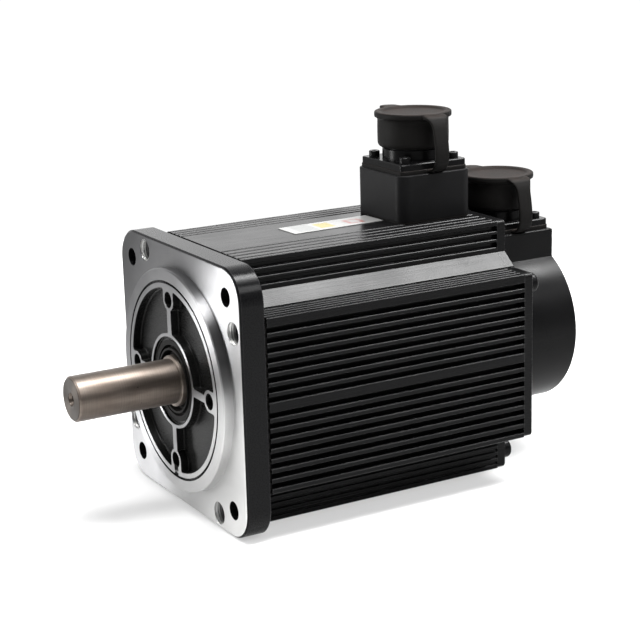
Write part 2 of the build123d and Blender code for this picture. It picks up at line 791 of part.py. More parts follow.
# ---------------------------------------------------------------- encoder cover
cover_start = plate_end + 0.5
cover_inside_end = cover_end - cover_wall
cover_column_radius = 5.2
cover_screw_length = 45.0
cover_head_seat = 202.6
turret_roof = turret_top - cover_wall
turret_foot = 20.0
screw_boss_bottom = 43.5
turret_length = cover_end - turret_start
turret_centre = (turret_start + cover_end) / 2
connector_hole_radius = 13.0
screw_boss_radius = 5.3
encoder_screw_points = connector_screws_at(encoder_centre)

with BuildPart() as cover_gasket:
    ring(cover_radius, cover_radius - cover_wall, plate_end, cover_start - plate_end)
cover_gasket.part.label = "cover_gasket"
export_step(cover_gasket.part, "parts/cover_gasket.step")

with BuildPart() as encoder_cover:
    ring(cover_radius, 0, cover_start, cover_end - cover_start)
    with BuildSketch(level(turret_foot, turret_centre)):
        Rectangle(2 * turret_half_width, turret_length)
    extrude(amount=turret_top - turret_foot, dir=upward)
    top_face = encoder_cover.faces().sort_by(Axis.Z)[-1]
    fillet(top_face.edges(), radius=1.2)
    rear_face = encoder_cover.faces().sort_by(Axis.Y)[-1]
    fillet(rear_face.edges(), radius=0.8)
    ring(cover_radius - cover_wall, 0, cover_start, cover_inside_end - cover_start,
         Mode.SUBTRACT)
    cavity_length = cover_inside_end - turret_start - cover_wall
    with BuildSketch(level(turret_foot - 1, turret_start + cover_wall + cavity_length / 2)):
        Rectangle(2 * (turret_half_width - cover_wall), cavity_length)
    extrude(amount=turret_roof - turret_foot + 1, dir=upward, mode=Mode.SUBTRACT)
    # columns for the long cover screws and bosses for the connector screws
    rods_across(cover_screw_points, cover_column_radius, cover_start,
                cover_inside_end - cover_start)
    rods_upright(encoder_screw_points, screw_boss_radius, screw_boss_bottom, turret_roof)
    holes_across(cover_screw_points, m4_clearance_radius, cover_start - 1, 50)
    holes_across(cover_screw_points, 4.0, cover_head_seat, 6)
    rods_upright([(0, encoder_centre)], connector_hole_radius, turret_roof - 8, turret_top + 1,
                 Mode.SUBTRACT)
    rods_upright(encoder_screw_points, m3_radius, screw_boss_bottom + 1, turret_top + 1,
                 Mode.SUBTRACT)
encoder_cover.part.label = "encoder_cover"
export_step(encoder_cover.part, "parts/encoder_cover.step")


# ---------------------------------------------------------------- socket head screws
def screws_across(points, radius, head_radius, head_height, seat, length, direction,
                  rounding=0.5):
    """Socket head screws along the motor axis; direction is +1 if the shank points back."""
    head_start = seat - head_height if direction > 0 else seat
    shank_start = seat if direction > 0 else seat - length
    open_face = seat - direction * head_height
    rods_across(points, head_radius, head_start, head_height)
    rims = active_part().edges().filter_by(GeomType.CIRCLE)
    rims = rims.filter_by(lambda e: abs(e.center().Y - open_face) < 0.01)
    fillet(rims, radius=rounding)
    rods_across(points, radius, shank_start, length)
    inward = rearward if direction > 0 else forward
    sockets(points, 1.65 * radius, open_face, 0.55 * head_height, inward)


def screws_upright(points, seat, length):
    """M3 socket head screws standing on a horizontal seat."""
    rods_upright(points, m3_head_radius, seat, seat + m3_head_height)
    rims = active_part().edges().filter_by(GeomType.CIRCLE).group_by(Axis.Z)[-1]
    chamfer(rims, length=0.3)
    rods_upright(points, m3_radius, seat - length, seat)
    with BuildSketch(level(seat + m3_head_height), mode=Mode.PRIVATE) as section:
        with Locations(*points):
            RegularPolygon(1.25, 6, major_radius=False)
    extrude(section.sketch, amount=-1.6, mode=Mode.SUBTRACT)


with BuildPart() as flange_screws:
    screws_across(screw_points, m6_radius, m6_head_radius, m6_head_height, counterbore_depth,
                  m6_screw_length, 1)
flange_screws.part.label = "flange_screws"
export_step(flange_screws.part, "parts/flange_screws.step")

with BuildPart() as rear_plate_screws:
    screws_across(screw_points, m6_radius, m6_head_radius, m6_head_height, plate_end,
                  m6_screw_length, -1, rounding=1.8)
rear_plate_screws.part.label = "rear_plate_screws"
export_step(rear_plate_screws.part, "parts/rear_plate_screws.step")

with BuildPart() as cover_screws:
    screws_across(cover_screw_points, m4_radius, m4_head_radius, m4_head_height,
                  cover_head_seat, cover_screw_length, -1)
cover_screws.part.label = "cover_screws"
export_step(cover_screws.part, "parts/cover_screws.step")

# ---------------------------------------------------------------- power connector box
box_bottom = half_frame + box_gasket_thickness
box_corner_radius = 6.0
box_roof = box_top - 4.0

with BuildPart() as power_box_gasket:
    with BuildSketch(level(half_frame, box_centre)):
        RectangleRounded(box_size, box_size, box_corner_radius)
        RectangleRounded(36, 36, 9, mode=Mode.SUBTRACT)
        with GridLocations(2 * connector_screw_offset, 2 * connector_screw_offset, 2, 2):
            Circle(screw_boss_radius)
            Circle(m3_clearance_radius, mode=Mode.SUBTRACT)
    extrude(amount=box_gasket_thickness, dir=upward)
power_box_gasket.part.label = "power_box_gasket"
export_step(power_box_gasket.part, "parts/power_box_gasket.step")

with BuildPart() as power_box:
    with BuildSketch(level(box_bottom, box_centre)):
        RectangleRounded(box_size, box_size, box_corner_radius)
    extrude(amount=box_top - box_bottom, dir=upward)
    fillet(power_box.faces().sort_by(Axis.Z)[-1].edges(), radius=0.6)
    with BuildSketch(level(box_bottom, box_centre)):
        RectangleRounded(box_size - 2 * box_wall, box_size - 2 * box_wall, 4)
    extrude(amount=box_roof - box_bottom, dir=upward, mode=Mode.SUBTRACT)
    rods_upright(box_screw_points, screw_boss_radius, box_bottom, box_roof)
    rods_upright(box_screw_points, m3_clearance_radius, box_bottom - 1, box_top + 1, Mode.SUBTRACT)
    rods_upright([(0, box_centre)], connector_hole_radius, box_roof - 1, box_top + 1,
                 Mode.SUBTRACT)
power_box.part.label = "power_box"
export_step(power_box.part, "parts/power_box.step")

# ---------------------------------------------------------------- round connectors
barrel_radius = 15.0
collar_radius = 15.7
collar_top = 10.8
barrel_top = 23.0
socket_radius = 11.2
insert_bottom = -6.0
insert_top = 12.0
pin_top = 18.0
shell_radius = 12.7
thread_depth = 0.5
thread_pitch = 1.6
thread_count = 7


def cap_base(seat, station):
    """Rubber plate under the receptacle, the root of the cap's strap."""
    with BuildSketch(level(seat, station), mode=Mode.PRIVATE) as plate:
        RectangleRounded(cap_base_square, cap_base_square, 3)
        Circle(shell_radius + 0.2, mode=Mode.SUBTRACT)
        with GridLocations(2 * connector_screw_offset, 2 * connector_screw_offset, 2, 2):
            Circle(m3_clearance_radius, mode=Mode.SUBTRACT)
    extrude(plate.sketch, amount=cap_base_thickness, dir=upward)
    fillet(active_part().faces().sort_by(Axis.Z)[-1].outer_wire().edges(), radius=0.5)


def receptacle(seat, station):
    """Metal socket shell: square flange, collar and threaded barrel."""
    flange_bottom = seat + cap_base_thickness
    flange_top = flange_bottom + receptacle_flange_thickness
    with BuildSketch(level(flange_bottom, station), mode=Mode.PRIVATE) as square:
        RectangleRounded(receptacle_square, receptacle_square, 2)
    extrude(square.sketch, amount=receptacle_flange_thickness, dir=upward)
    chamfer(active_part().faces().sort_by(Axis.Z)[-1].edges(), length=0.4)
    upright_turned([
        (socket_radius, seat - 7), (shell_radius, seat - 7), (shell_radius, flange_top),
        (collar_radius, flange_top), (collar_radius, seat + collar_top - 0.4),
        (collar_radius - 0.4, seat + collar_top), (barrel_radius, seat + collar_top),
        (barrel_radius, seat + barrel_top - 0.8), (barrel_radius - 0.8, seat + barrel_top),
        (socket_radius, seat + barrel_top),
    ], station)
    rods_upright([(0, station)], socket_radius, seat - 8, seat + barrel_top + 1, Mode.SUBTRACT)
    for index in range(thread_count):
        base = seat + collar_top + 1.2 + thread_pitch * index
        upright_turned([
            (barrel_radius + 0.1, base), (barrel_radius - thread_depth, base + 0.4),
            (barrel_radius - thread_depth, base + 0.6), (barrel_radius + 0.1, base + 1.0),
        ], station, Mode.SUBTRACT)
    rods_upright(connector_screws_at(station), m3_clearance_radius, flange_bottom - 1,
                 flange_top + 1, Mode.SUBTRACT)


def insert(seat, station, pins, pin_radius):
    """Plastic body that holds the contact pins."""
    rods_upright([(0, station)], socket_radius, seat + insert_bottom, seat + insert_top)
    rods_upright(pins, pin_radius, seat + insert_bottom - 1, seat + insert_top + 1,
                 Mode.SUBTRACT)


def contact_pins(seat, pins, pin_radius, bottom):
    """Round contacts with a rounded mating end."""
    rods_upright(pins, pin_radius, seat + bottom, seat + pin_top)
    tips = active_part().edges().filter_by(GeomType.CIRCLE).group_by(Axis.Z)[-1]
    fillet(tips, radius=0.6 * pin_radius)


cap_radius = 18.0
cap_inside_radius = 15.4
cap_bottom = 11.2
cap_ceiling = 23.6
brim_radius = 19.5
brim_bottom = 26.0
cap_top = 29.0
cap_recess_radius = 15.6
cap_recess_depth = 0.8
tab_width = 9.0
tab_reach = 27.5


def rubber_cap(seat, station):
    """Push-on dust cap: cup, brim and a pull tab towards -X."""
    upright_turned([
        (0, seat + cap_ceiling), (cap_inside_radius, seat + cap_ceiling),
        (cap_inside_radius, seat + cap_bottom), (15.8, seat + cap_bottom),
        (cap_radius, seat + cap_bottom + 1.4), (cap_radius, seat + brim_bottom),
        (brim_radius - 0.4, seat + brim_bottom), (brim_radius, seat + brim_bottom + 0.4),
        (brim_radius, seat + cap_top - 0.6), (brim_radius - 0.6, seat + cap_top),
        (cap_recess_radius, seat + cap_top),
        (cap_recess_radius - 0.6, seat + cap_top - cap_recess_depth),
        (0, seat + cap_top - cap_recess_depth),
    ], station)
    with BuildSketch(level(seat + brim_bottom + 0.2, station), mode=Mode.PRIVATE) as tab:
        with Locations((-(tab_reach + 17) / 2, 0)):
            SlotOverall(tab_reach - 13, tab_width)
        Circle(17.0, mode=Mode.SUBTRACT)
    extrude(tab.sketch, amount=2.8, dir=upward)


strap_width = 8.2
strap_half_thickness = 0.8


def cap_strap(seat, station):
    """Flat rubber strap from the brim's edge down to the base plate, on the +X side."""
    centreline = [(20.45, 27.3), (23.0, 25.4), (24.6, 20.6), (25.9, 14.0), (26.2, 8.5),
                  (25.2, 3.9), (22.9, 1.5), (20.75, 1.0)]
    side = Plane(origin=(0, station, 0), x_dir=(1, 0, 0), z_dir=(0, -1, 0))
    with BuildSketch(side, mode=Mode.PRIVATE) as profile:
        with BuildLine(mode=Mode.PRIVATE) as route:
            Spline(*[(x, seat + height) for x, height in centreline])
        trace(route.line, line_width=2 * strap_half_thickness)
    extrude(profile.sketch, amount=strap_width / 2, both=True)


power_seat = box_top
encoder_seat = turret_top
power_pin_radius = 1.8
power_pin_bottom = -11.0
encoder_pin_radius = 0.8
encoder_pin_bottom = -10.0
power_pins_at = [(x, box_centre + y) for x, y in on_circle(6.0, 4, 45)]
encoder_inner_pins_at = [(x, encoder_centre + y) for x, y in on_circle(4.0, 5)]
encoder_pins_at = [(x, encoder_centre + y) for x, y in on_circle(8.0, 10)]
encoder_pins_at += encoder_inner_pins_at
power_screw_length = 35.0
encoder_screw_length = 12.0
flange_seat = cap_base_thickness + receptacle_flange_thickness

with BuildPart() as power_cap_base:
    cap_base(power_seat, box_centre)
power_cap_base.part.label = "power_cap_base"
export_step(power_cap_base.part, "parts/power_cap_base.step")

with BuildPart() as power_receptacle:
    receptacle(power_seat, box_centre)
power_receptacle.part.label = "power_receptacle"
export_step(power_receptacle.part, "parts/power_receptacle.step")

with BuildPart() as power_insert:
    insert(power_seat, box_centre, power_pins_at, power_pin_radius)
power_insert.part.label = "power_insert"
export_step(power_insert.part, "parts/power_insert.step")

with BuildPart() as power_pins:
    contact_pins(power_seat, power_pins_at, power_pin_radius, power_pin_bottom)
power_pins.part.label = "power_pins"
export_step(power_pins.part, "parts/power_pins.step")

with BuildPart() as power_receptacle_screws:
    screws_upright(box_screw_points, power_seat + flange_seat, power_screw_length)
power_receptacle_screws.part.label = "power_receptacle_screws"
export_step(power_receptacle_screws.part, "parts/power_receptacle_screws.step")

with BuildPart() as power_cap:
    rubber_cap(power_seat, box_centre)
power_cap.part.label = "power_cap"
export_step(power_cap.part, "parts/power_cap.step")

with BuildPart() as power_cap_strap:
    cap_strap(power_seat, box_centre)
power_cap_strap.part.label = "power_cap_strap"
export_step(power_cap_strap.part, "parts/power_cap_strap.step")

with BuildPart() as encoder_cap_base:
    cap_base(encoder_seat, encoder_centre)
encoder_cap_base.part.label = "encoder_cap_base"
export_step(encoder_cap_base.part, "parts/encoder_cap_base.step")

with BuildPart() as encoder_receptacle:
    receptacle(encoder_seat, encoder_centre)
encoder_receptacle.part.label = "encoder_receptacle"
export_step(encoder_receptacle.part, "parts/encoder_receptacle.step")

with BuildPart() as encoder_insert:
    insert(encoder_seat, encoder_centre, encoder_pins_at, encoder_pin_radius)
encoder_insert.part.label = "encoder_insert"
export_step(encoder_insert.part, "parts/encoder_insert.step")

with BuildPart() as encoder_pins:
    contact_pins(encoder_seat, encoder_pins_at, encoder_pin_radius, encoder_pin_bottom)
encoder_pins.part.label = "encoder_pins"
export_step(encoder_pins.part, "parts/encoder_pins.step")

with BuildPart() as encoder_receptacle_screws:
    screws_upright(encoder_screw_points, encoder_seat + flange_seat, encoder_screw_length)
encoder_receptacle_screws.part.label = "encoder_receptacle_screws"
export_step(encoder_receptacle_screws.part, "parts/encoder_receptacle_screws.step")

with BuildPart() as encoder_cap:
    rubber_cap(encoder_seat, encoder_centre)
encoder_cap.part.label = "encoder_cap"
export_step(encoder_cap.part, "parts/encoder_cap.step")

with BuildPart() as encoder_cap_strap:
    cap_strap(encoder_seat, encoder_centre)
encoder_cap_strap.part.label = "encoder_cap_strap"
export_step(encoder_cap_strap.part, "parts/encoder_cap_strap.step")

# ---------------------------------------------------------------- encoder electronics
board_start = 184.0
board_thickness = 1.6
board_end = board_start + board_thickness
board_radius = 30.0
sensor_start = 179.0
socket_block_top = 26.0

with BuildPart() as encoder_standoffs:
    rods_across(standoff_points, 2.5, rear_hub_end, board_start - rear_hub_end)
    rods_across(standoff_points, m3_radius, rear_hub_end - standoff_thread, standoff_thread)
    holes_across(standoff_points, m3_radius, board_start - standoff_thread, 7)
encoder_standoffs.part.label = "encoder_standoffs"
export_step(encoder_standoffs.part, "parts/encoder_standoffs.step")

with BuildPart() as encoder_board:
    ring(board_radius, 0, board_start, board_thickness)
    holes_across(standoff_points, m3_radius + 0.1, board_start - 1, 4)
encoder_board.part.label = "encoder_board"
export_step(encoder_board.part, "parts/encoder_board.step")

with BuildPart() as encoder_sensor:
    with BuildSketch(across(sensor_start)):
        with Locations((0, 17.5)):
            Rectangle(14, 9)
    extrude(amount=board_start - sensor_start, dir=rearward)
    chamfer(encoder_sensor.faces().sort_by(Axis.Y)[0].edges(), length=0.6)
encoder_sensor.part.label = "encoder_sensor"
export_step(encoder_sensor.part, "parts/encoder_sensor.step")

with BuildPart() as encoder_chips:
    with BuildSketch(across(board_end)):
        with Locations((-10, -6)):
            Rectangle(10, 10)
        with Locations((9, -9)):
            Rectangle(8, 5)
        with Locations((9, 2)):
            Rectangle(6, 4)
    extrude(amount=1.4, dir=rearward)
    # socket for the leads
    with BuildSketch(across(board_end)):
        with Locations((0, socket_block_top - 3)):
            Rectangle(12, 6)
    extrude(amount=4.6, dir=rearward)
encoder_chips.part.label = "encoder_chips"
export_step(encoder_chips.part, "parts/encoder_chips.step")

with BuildPart() as board_screws:
    screws_across(standoff_points, m3_radius, m3_head_radius, 2.4, board_end, 5.0, -1)
board_screws.part.label = "board_screws"
export_step(board_screws.part, "parts/board_screws.step")


# ---------------------------------------------------------------- leads inside the motor
def lead(points, bend, radius):
    """Round insulated wire along straight runs joined by arcs."""
    with BuildLine(mode=Mode.PRIVATE) as route:
        FilletPolyline(*points, radius=bend)
    start = Plane(origin=route.line @ 0, z_dir=route.line % 0)
    with BuildSketch(start, mode=Mode.PRIVATE) as section:
        Circle(radius)
    sweep(section.sketch, path=route.line)


power_lead_radius = 1.2
encoder_lead_radius = 0.5
coil_end = core_end + coil_overhang

with BuildPart() as power_leads:
    for (pin_x, pin_y), x in zip(power_pins_at, (4.5, -1.5, -4.5, 1.5)):
        lead([
            (x, coil_end, 39), (x, wire_hole_station, 39), (x, wire_hole_station, 66),
            (pin_x, pin_y, 72), (pin_x, pin_y, power_seat + power_pin_bottom),
        ], 2.4, power_lead_radius)
power_leads.part.label = "power_leads"
export_step(power_leads.part, "parts/power_leads.step")

with BuildPart() as encoder_leads:
    lead_station = board_end + 2.4
    for (pin_x, pin_y), x in zip(encoder_inner_pins_at, (4, 2, -4, -2, 0)):
        lead([
            (x, lead_station, socket_block_top), (x, lead_station, 30),
            (pin_x, pin_y, 36), (pin_x, pin_y, encoder_seat + encoder_pin_bottom),
        ], 1.2, encoder_lead_radius)
encoder_leads.part.label = "encoder_leads"
export_step(encoder_leads.part, "parts/encoder_leads.step")

# ---------------------------------------------------------------- rating label
label_width = 16.5
label_length = 51.5
label_thickness = 0.25
label_station = 86.3
label_turn = 1.8

with BuildPart() as rating_label:
    with BuildSketch(level(half_frame, label_station)):
        with Locations((-0.9, 0)):
            Rectangle(label_width, label_length, rotation=label_turn)
    extrude(amount=label_thickness, dir=upward)
rating_label.part.label = "rating_label"
export_step(rating_label.part, "parts/rating_label.step")
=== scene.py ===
import json
import math

import bmesh
import bpy
from mathutils import Matrix, Vector


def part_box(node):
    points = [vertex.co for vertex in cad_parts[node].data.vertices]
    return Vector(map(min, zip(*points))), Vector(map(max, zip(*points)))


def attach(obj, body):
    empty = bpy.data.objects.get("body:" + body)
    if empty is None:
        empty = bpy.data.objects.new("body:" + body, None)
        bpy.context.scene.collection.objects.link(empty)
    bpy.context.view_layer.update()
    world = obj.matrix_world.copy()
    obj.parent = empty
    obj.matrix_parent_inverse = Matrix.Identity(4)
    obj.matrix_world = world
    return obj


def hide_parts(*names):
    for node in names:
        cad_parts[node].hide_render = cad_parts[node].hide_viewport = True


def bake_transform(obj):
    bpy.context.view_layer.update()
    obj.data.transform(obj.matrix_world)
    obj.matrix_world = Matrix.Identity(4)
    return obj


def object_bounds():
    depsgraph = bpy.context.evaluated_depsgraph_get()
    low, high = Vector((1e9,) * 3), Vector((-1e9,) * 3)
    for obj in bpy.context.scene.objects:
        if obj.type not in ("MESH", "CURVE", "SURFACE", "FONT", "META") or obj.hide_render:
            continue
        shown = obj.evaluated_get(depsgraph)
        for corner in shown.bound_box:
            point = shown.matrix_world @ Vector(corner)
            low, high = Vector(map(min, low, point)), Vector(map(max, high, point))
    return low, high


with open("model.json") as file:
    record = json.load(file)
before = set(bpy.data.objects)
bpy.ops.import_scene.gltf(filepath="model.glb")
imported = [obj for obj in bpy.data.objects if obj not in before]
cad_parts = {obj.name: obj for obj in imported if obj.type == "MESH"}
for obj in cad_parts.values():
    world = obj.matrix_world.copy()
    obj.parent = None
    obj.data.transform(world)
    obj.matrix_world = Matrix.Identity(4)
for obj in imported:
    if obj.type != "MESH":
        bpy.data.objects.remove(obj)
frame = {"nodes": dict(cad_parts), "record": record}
cad_low, cad_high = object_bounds()

MM = 0.001
NODES = frame["nodes"]

FLOOR_MIDDLE = (cad_low.y + cad_high.y) / 2
FLOOR_RADIUS = 0.62
FLOOR_GLOW = 0.45

# front flange, in millimetres: far and near offsets of its holes from the axis, then their radius
MOUNTING_HOLE = (51.27, 51.27, 4.55)
SHIELD_SCREW_HOLE = (57.5, 35.5, 6.2)
POCKET_RADIUS = 46.3
GROOVE_INNER, GROOVE_OUTER = 47.4, 49.6
PILOT_FACE = -4.85


# ---------------------------------------------------------------- node materials
class Finish:
    """A node material on one Principled shader. Its place is in millimetres of the frame."""

    def __init__(self, name):
        self.material = bpy.data.materials.new(name)
        self.material.use_nodes = True
        self.tree = self.material.node_tree
        self.shader = self.tree.nodes["Principled BSDF"]
        coordinates = self.tree.nodes.new("ShaderNodeTexCoord")
        self.place = self.vector("SCALE", coordinates.outputs["Object"], Scale=1 / MM)

    def set(self, **sockets):
        for key, value in sockets.items():
            self.plug(self.shader.inputs[key.replace("_", " ")], value)

    def plug(self, socket, value):
        if isinstance(value, bpy.types.NodeSocket):
            self.tree.links.new(value, socket)
        elif socket.type == "RGBA" and len(value) == 3:
            socket.default_value = (*value, 1.0)
        else:
            socket.default_value = value

    def node(self, kind, sockets, **settings):
        made = self.tree.nodes.new(kind)
        for key, value in settings.items():
            setattr(made, key, value)
        for key, value in sockets.items():
            self.plug(made.inputs[key], value)
        return made

    def math(self, operation, first, second=0.0):
        return self.node("ShaderNodeMath", {0: first, 1: second}, operation=operation).outputs[0]

    def length(self, first, second):
        """Length of the long side of a right triangle, from the other two."""
        squares = self.math("ADD", self.math("MULTIPLY", first, first),
                            self.math("MULTIPLY", second, second))
        return self.math("SQRT", squares)

    def vector(self, operation, first, second=None, **named):
        sockets = {0: first, **named}
        if second is not None:
            sockets[1] = second
        made = self.node("ShaderNodeVectorMath", sockets, operation=operation)
        return made.outputs["Value" if operation in ("DOT_PRODUCT", "LENGTH") else "Vector"]

    def axes(self):
        parts = self.node("ShaderNodeSeparateXYZ", {0: self.place}).outputs
        return parts[0], parts[1], parts[2]

    def stretched(self, x, y, z):
        return self.vector("MULTIPLY", self.place, (x, y, z))

    def noise(self, where, scale, detail=3.0, rough=0.5):
        sockets = {"Vector": where, "Scale": scale, "Detail": detail, "Roughness": rough}
        return self.node("ShaderNodeTexNoise", sockets).outputs["Fac"]

    def along(self, value, scale, detail=3.0):
        """Noise that changes with one number only, such as a radius."""
        sockets = {"W": value, "Scale": scale, "Detail": detail}
        return self.node("ShaderNodeTexNoise", sockets, noise_dimensions="1D").outputs["Fac"]

    def span(self, value, low, high, start=0.0, end=1.0):
        sockets = {0: value, 1: low, 2: high, 3: start, 4: end}
        return self.node("ShaderNodeMapRange", sockets).outputs[0]

    def below(self, value, limit, soft=0.1):
        return self.span(value, limit - soft, limit + soft, 1.0, 0.0)

    def above(self, value, limit, soft=0.1):
        return self.span(value, limit - soft, limit + soft, 0.0, 1.0)

    def mix(self, factor, first, second):
        made = self.node("ShaderNodeMix", {0: factor}, data_type="RGBA")
        self.plug(made.inputs[6], first)
        self.plug(made.inputs[7], second)
        return made.outputs[2]

    def edges(self, radius, gain):
        """1 on edges and corners, 0 on flats and smooth curves."""
        bevel = self.node("ShaderNodeBevel", {"Radius": radius * MM}, samples=6).outputs[0]
        normal = self.node("ShaderNodeNewGeometry", {}).outputs["Normal"]
        facing = self.vector("DOT_PRODUCT", bevel, normal)
        return self.span(facing, 1.0, 1.0 - gain)

    def bump(self, height, distance, strength=1.0, normal=None):
        sockets = {"Strength": strength, "Distance": distance * MM, "Height": height}
        if normal is not None:
            sockets["Normal"] = normal
        self.set(Normal=self.node("ShaderNodeBump", sockets).outputs["Normal"])

    def rounded(self, radius):
        return self.node("ShaderNodeBevel", {"Radius": radius * MM}, samples=6).outputs[0]

    def up(self):
        """The upward part of the surface's normal."""
        normal = self.node("ShaderNodeNewGeometry", {}).outputs["Normal"]
        return self.node("ShaderNodeSeparateXYZ", {0: normal}).outputs[2]


def machined_and_painted():
    """Flange: turned aluminium in front and in the screw holes, satin black paint elsewhere."""
    finish = Finish("machined_flange")
    x, y, z = finish.axes()
    radius = finish.length(x, z)
    far = finish.math("MAXIMUM", finish.math("ABSOLUTE", x), finish.math("ABSOLUTE", z))
    near = finish.math("MINIMUM", finish.math("ABSOLUTE", x), finish.math("ABSOLUTE", z))

    def near_hole(hole_far, hole_near, hole_radius):
        across = finish.math("SUBTRACT", far, hole_far)
        along = finish.math("SUBTRACT", near, hole_near)
        return finish.below(finish.length(across, along), hole_radius, 0.05)

    front = finish.below(y, 0.15, 0.05)
    sunk = finish.math("MULTIPLY", finish.above(y, PILOT_FACE, 0.08), finish.below(y, -0.3, 0.1))
    pocket = finish.math("MULTIPLY", sunk, finish.below(radius, POCKET_RADIUS, 0.05))
    bare = finish.math("SUBTRACT", front, pocket)
    bare = finish.math("SUBTRACT", bare, near_hole(*MOUNTING_HOLE))
    bare = finish.math("MAXIMUM", bare, near_hole(*SHIELD_SCREW_HOLE))
    grooved = finish.math("MULTIPLY", finish.above(radius, GROOVE_INNER, 0.05),
                          finish.below(radius, GROOVE_OUTER, 0.05))
    sunk_ring = finish.math("MULTIPLY", finish.above(y, PILOT_FACE, 0.05),
                            finish.below(y, -1.0, 0.1))
    bare = finish.math("SUBTRACT", bare, finish.math("MULTIPLY", grooved, sunk_ring))
    bare = finish.math("MAXIMUM", bare, 0.0)

    fine = finish.along(radius, 3.4, 2.0)
    coarse = finish.along(radius, 0.35, 3.0)
    cloud = finish.noise(finish.place, 0.03, 3.0)
    metal = finish.mix(fine, (0.10, 0.10, 0.105), (0.275, 0.275, 0.275))
    metal = finish.mix(finish.math("MULTIPLY", coarse, 0.5), metal, (0.20, 0.20, 0.205))
    patches = finish.span(finish.noise(finish.place, 0.045, 2.0), 0.35, 0.65, 0.0, 0.5)
    metal = finish.mix(patches, metal, (0.29, 0.29, 0.295))
    # Painted light: the turned metal is painted darker towards low x and high z of the face
    # (painted shade) and lighter towards high x and low z (painted highlight), in place of its
    # reflections.
    painted_light_slant = finish.math("SUBTRACT", x, z)
    metal = finish.mix(finish.span(painted_light_slant, -110.0, -20.0, 0.95, 0.0), metal, (0.035, 0.035, 0.037))
    metal = finish.mix(finish.span(painted_light_slant, 30.0, 110.0, 0.0, 0.9), metal, (0.80, 0.80, 0.79))
    # Counterbore walls of the shield screws: ridged metal, painted darker with depth as painted
    # shade inside the hole.
    ridged = finish.math("MULTIPLY", near_hole(*SHIELD_SCREW_HOLE), finish.above(y, 0.3, 0.2))
    painted_shade_depth = finish.span(y, 1.0, 4.5)
    ridges_with_painted_shade = finish.mix(painted_shade_depth, (0.85, 0.85, 0.84), (0.05, 0.05, 0.05))
    metal = finish.mix(ridged, metal, ridges_with_painted_shade)
    grain = finish.noise(finish.place, 1.6, 5.0)
    worn_and_highlit = finish.edges(0.5, 0.25)
    paint = finish.mix(grain, (0.0015, 0.0015, 0.0017), (0.005, 0.005, 0.0053))
    # Edges of the paint lightened: paint worn off, and painted highlight along the edges.
    paint = finish.mix(finish.math("MULTIPLY", worn_and_highlit, 0.45), paint, (0.10, 0.10, 0.105))
    # Pocket paint: a lighter tone than the outer paint as painted sheen, and edges lightened much
    # more strongly as painted highlight along the wall-to-floor fillet, partly wear.
    pocket_paint_with_painted_sheen = finish.mix(grain, (0.003, 0.003, 0.003), (0.009, 0.009, 0.0088))
    pocket_paint_with_painted_sheen = finish.mix(finish.math("MULTIPLY", worn_and_highlit, 0.8), pocket_paint_with_painted_sheen, (0.20, 0.20, 0.19))
    paint = finish.mix(pocket, paint, pocket_paint_with_painted_sheen)
    rough_metal = finish.span(finish.math("ADD", fine, cloud), 0.6, 1.5, 0.30, 0.42)
    rough_paint = finish.span(grain, 0.3, 0.7, 0.23, 0.33)
    rough_metal = finish.math("ADD", rough_metal, finish.math("MULTIPLY", ridged, 0.2))
    rough = finish.math("ADD", finish.math("MULTIPLY", rough_metal, bare),
                        finish.math("MULTIPLY", rough_paint, finish.math("SUBTRACT", 1.0, bare)))
    tangent = finish.node("ShaderNodeTangent", {}, direction_type="RADIAL", axis="Y")
    finish.set(Base_Color=finish.mix(bare, paint, metal), Metallic=bare, Roughness=rough,
               Anisotropic=0.85, Anisotropic_Rotation=0.25, Tangent=tangent.outputs[0],
               Specular_IOR_Level=0.075)
    turned = finish.math("MULTIPLY", fine, bare)
    cast = finish.math("MULTIPLY", grain, finish.math("SUBTRACT", 1.0, bare))
    finish.bump(finish.math("ADD", turned, cast), 0.02, 0.5, finish.rounded(0.25))
    return finish.material


def black_coat(name, rough=0.24, streaks=True, wear_and_highlight=0.35, gloss=0.068):
    """Satin black paint over aluminium, with drawn streaks along the motor and edges lightened as
    wear and painted highlight.
    """
    finish = Finish(name)
    drawn = finish.noise(finish.stretched(2.6, 0.012, 2.6), 1.0, 4.0)
    grain = finish.noise(finish.place, 2.2, 4.0)
    cloud = finish.noise(finish.place, 0.035, 4.0)
    pattern = drawn if streaks else grain
    # Edges lightened in patches: paint worn off, and painted highlight along the fin edges.
    worn_and_highlit = finish.edges(0.35, 0.25)
    patchy = finish.math("MULTIPLY", worn_and_highlit, finish.span(cloud, 0.3, 0.7, 0.4 * wear_and_highlight, wear_and_highlight))
    colour = finish.mix(pattern, (0.0014, 0.0014, 0.0015), (0.0040, 0.0040, 0.0042))
    colour = finish.mix(patchy, colour, (0.13, 0.13, 0.132))
    shine = finish.span(finish.math("ADD", pattern, cloud), 0.6, 1.4, rough - 0.06, rough + 0.11)
    finish.set(Base_Color=colour, Roughness=shine, Specular_IOR_Level=gloss)
    height = finish.math("ADD", finish.math("MULTIPLY", drawn, 0.5 if streaks else 0.0), grain)
    finish.bump(height, 0.002, 0.5, finish.rounded(0.15))
    return finish.material


def textured_grey():
    """Fine-textured dark grey paint of the terminal box."""
    finish = Finish("textured_grey_paint")
    grain = finish.noise(finish.place, 2.6, 5.0, 0.6)
    cloud = finish.noise(finish.place, 0.06, 3.0)
    worn_and_highlit = finish.edges(0.4, 0.3)
    colour = finish.mix(grain, (0.0015, 0.0015, 0.0017), (0.0055, 0.0055, 0.0058))
    # Edges lightened: wear and painted highlight.
    colour = finish.mix(finish.math("MULTIPLY", worn_and_highlit, 0.3), colour, (0.09, 0.09, 0.09))
    shine = finish.span(finish.math("ADD", grain, cloud), 0.6, 1.4, 0.42, 0.60)
    finish.set(Base_Color=colour, Roughness=shine, Specular_IOR_Level=0.075)
    finish.bump(grain, 0.05, 0.5, finish.rounded(0.5))
    return finish.material


